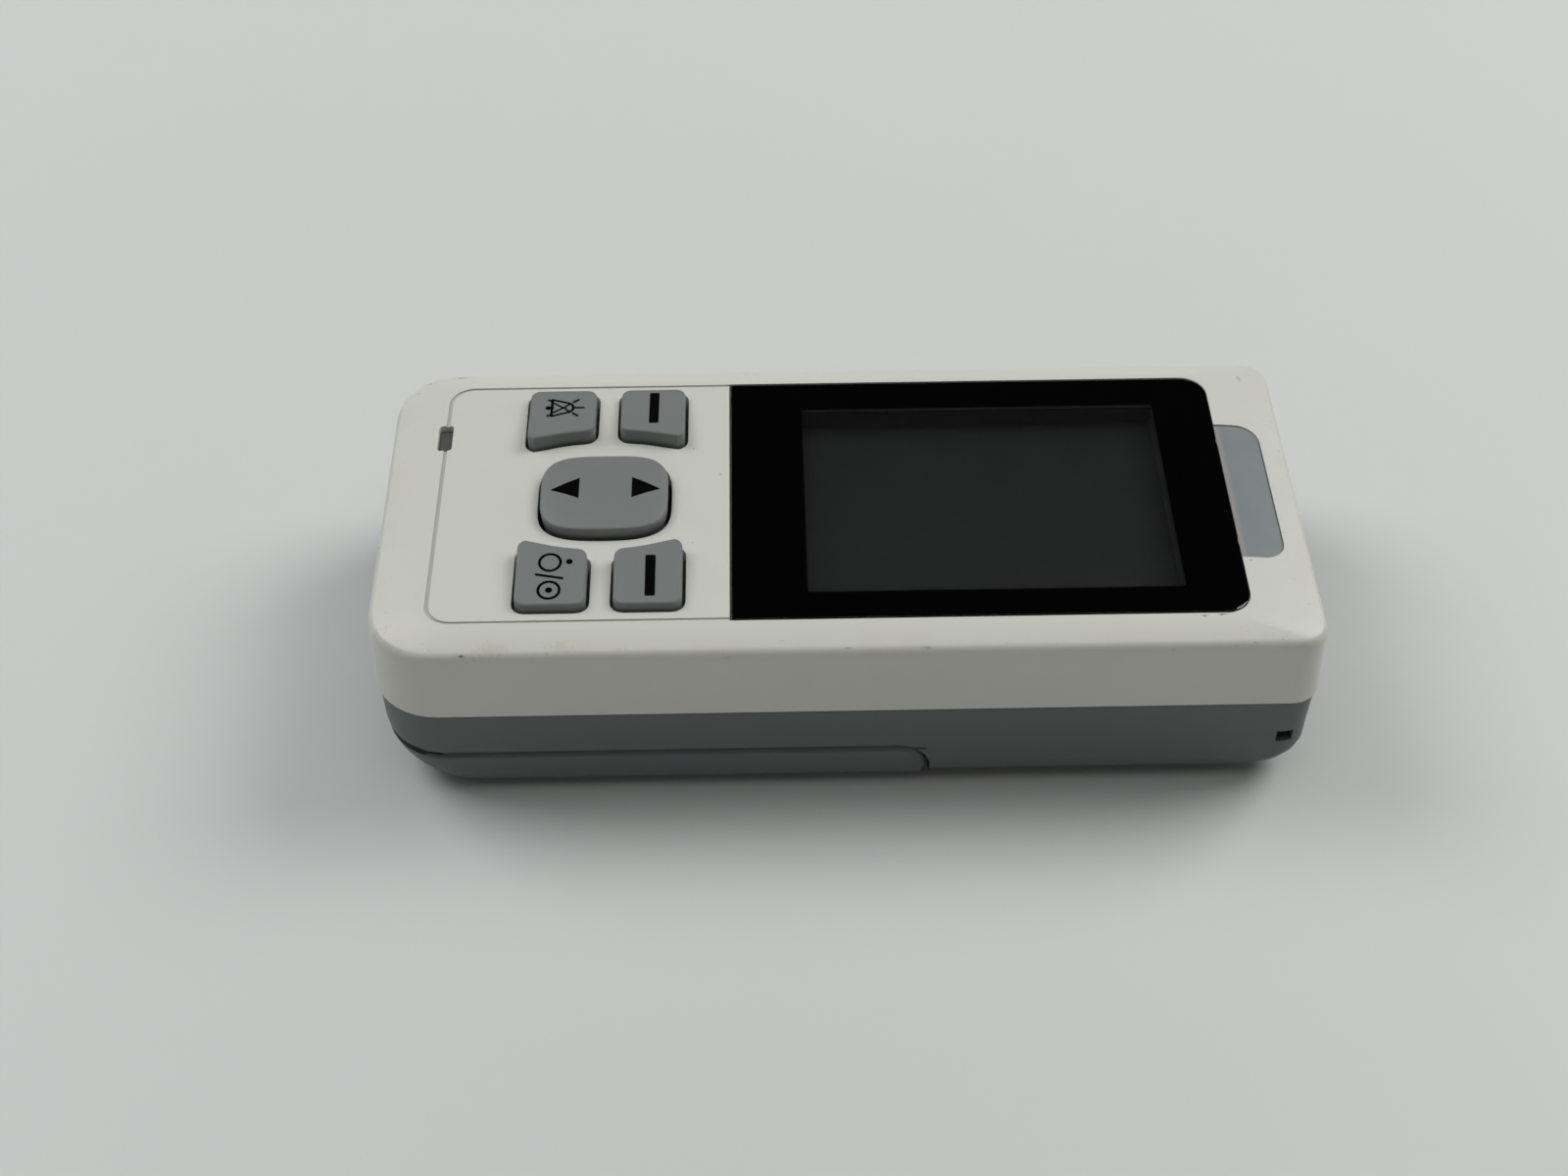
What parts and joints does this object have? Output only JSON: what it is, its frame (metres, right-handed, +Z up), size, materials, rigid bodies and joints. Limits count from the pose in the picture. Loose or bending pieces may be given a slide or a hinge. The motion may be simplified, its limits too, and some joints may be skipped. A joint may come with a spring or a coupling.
{
  "type": "ultrasound therapy device",
  "caption": "Hand-held control unit with a display window, soft keys, a rocker key, an alarm lens and a sliding battery door.",
  "frame": {"origin": "centre of the housing's outline, on the surface that the unit lies on", "axes": "+X along the length, from the key end to the alarm lens end; +Y across, towards the status lamp; +Z up out of the front panel"},
  "size_m": [0.124, 0.0552, 0.0307],
  "materials": {
    "housing_white": "fine moulded grain, warm off-white",
    "housing_grey": "fine moulded grain, blue-grey",
    "key_grey": "smooth matt, blue-grey",
    "window_black": "hard-coated acrylic, black behind",
    "black_foam": "black foam and adhesive",
    "display_glass": "polarised display surface",
    "black_plastic": "black moulded plastic",
    "lens_frosted": "frosted pale blue-grey",
    "lens_smoke": "smoked translucent",
    "led_white": "moulded lamp body",
    "silicone": "translucent grey silicone",
    "board_green": "solder mask",
    "ribbon_amber": "polyimide film",
    "connector_cream": "moulded connector",
    "steel": "plated steel",
    "nickel": "satin nickel plate",
    "gold": "gold flash",
    "ferrite": "sintered ferrite",
    "copper": "enamelled copper wire",
    "cell_steel": "plain grey cell sleeve"
  },
  "bodies": {
    "unit": {"front_shell": "housing_white", "rear_shell": "housing_grey", "display_window": "window_black", "window_tape": "black_foam", "display_foam": "black_foam", "display_glass": "display_glass", "display_frame": "black_plastic", "display_ribbon": "ribbon_amber", "ribbon_connector": "connector_cream", "alarm_lens": "lens_frosted", "alarm_leds": "led_white", "status_light_guide": "lens_smoke", "status_led": "led_white", "keypad_mat": "silicone", "snap_domes": "steel", "main_board": "board_green", "board_chips": "black_plastic", "sounder": "black_plastic", "drive_transformer": "ferrite", "transformer_winding": "copper", "lead_socket": "nickel", "socket_insert": "black_plastic", "socket_contacts": "gold", "socket_nut": "nickel", "near_cell": "cell_steel", "middle_cell": "cell_steel", "far_cell": "cell_steel", "battery_springs": "steel", "contact_plates": "steel", "case_screws": "steel", "board_screws": "steel"},
    "door": {"battery_door": "housing_grey"},
    "mute_button": {"mute_key": "key_grey"},
    "power_button": {"power_key": "key_grey"},
    "far_soft_button": {"far_soft_key": "key_grey"},
    "near_soft_button": {"near_soft_key": "key_grey"},
    "rocker": {"rocker_key": "key_grey"}
  },
  "joints": [
    {"name": "door_slide", "type": "slide", "parent": "unit", "child": "door", "axis": [-1, 0, 0], "range_m": [0, 0.073]},
    {"name": "mute_press", "type": "slide", "parent": "unit", "child": "mute_button", "axis": [0, 0, -1], "range_m": [0, 0.0008], "stiffness_N_per_m": 900},
    {"name": "power_press", "type": "slide", "parent": "unit", "child": "power_button", "axis": [0, 0, -1], "range_m": [0, 0.0008], "stiffness_N_per_m": 900},
    {"name": "far_soft_press", "type": "slide", "parent": "unit", "child": "far_soft_button", "axis": [0, 0, -1], "range_m": [0, 0.0008], "stiffness_N_per_m": 900},
    {"name": "near_soft_press", "type": "slide", "parent": "unit", "child": "near_soft_button", "axis": [0, 0, -1], "range_m": [0, 0.0008], "stiffness_N_per_m": 900},
    {"name": "rocker_tilt", "type": "hinge", "parent": "unit", "child": "rocker", "pos_m": [-0.0316, 0, 0.0249], "axis": [0, 1, 0], "range_deg": [-4, 4], "stiffness_Nm_per_rad": 0.2}
  ]
}
